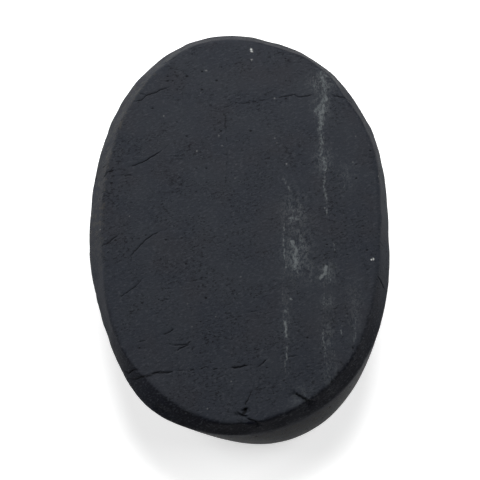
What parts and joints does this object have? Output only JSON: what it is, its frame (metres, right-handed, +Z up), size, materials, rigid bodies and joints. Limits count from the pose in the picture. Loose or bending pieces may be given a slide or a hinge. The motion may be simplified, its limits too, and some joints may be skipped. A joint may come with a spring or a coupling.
{
  "type": "massage stone",
  "caption": "Flat rounded oblong of matt black stone with a bevelled shoulder, a slightly crowned working face and a flat face to rest on.",
  "frame": {"origin": "middle of the flat resting face, under the middle of the stone's outer box", "axes": "+Y along the stone's length, +X across its width, +Z up through its thickness to the working face"},
  "size_m": [0.0572, 0.0799, 0.0185],
  "materials": {
    "stone": "fine-grained, matt, unpolished"
  },
  "bodies": {
    "root": {"stone": "stone"}
  },
  "joints": []
}
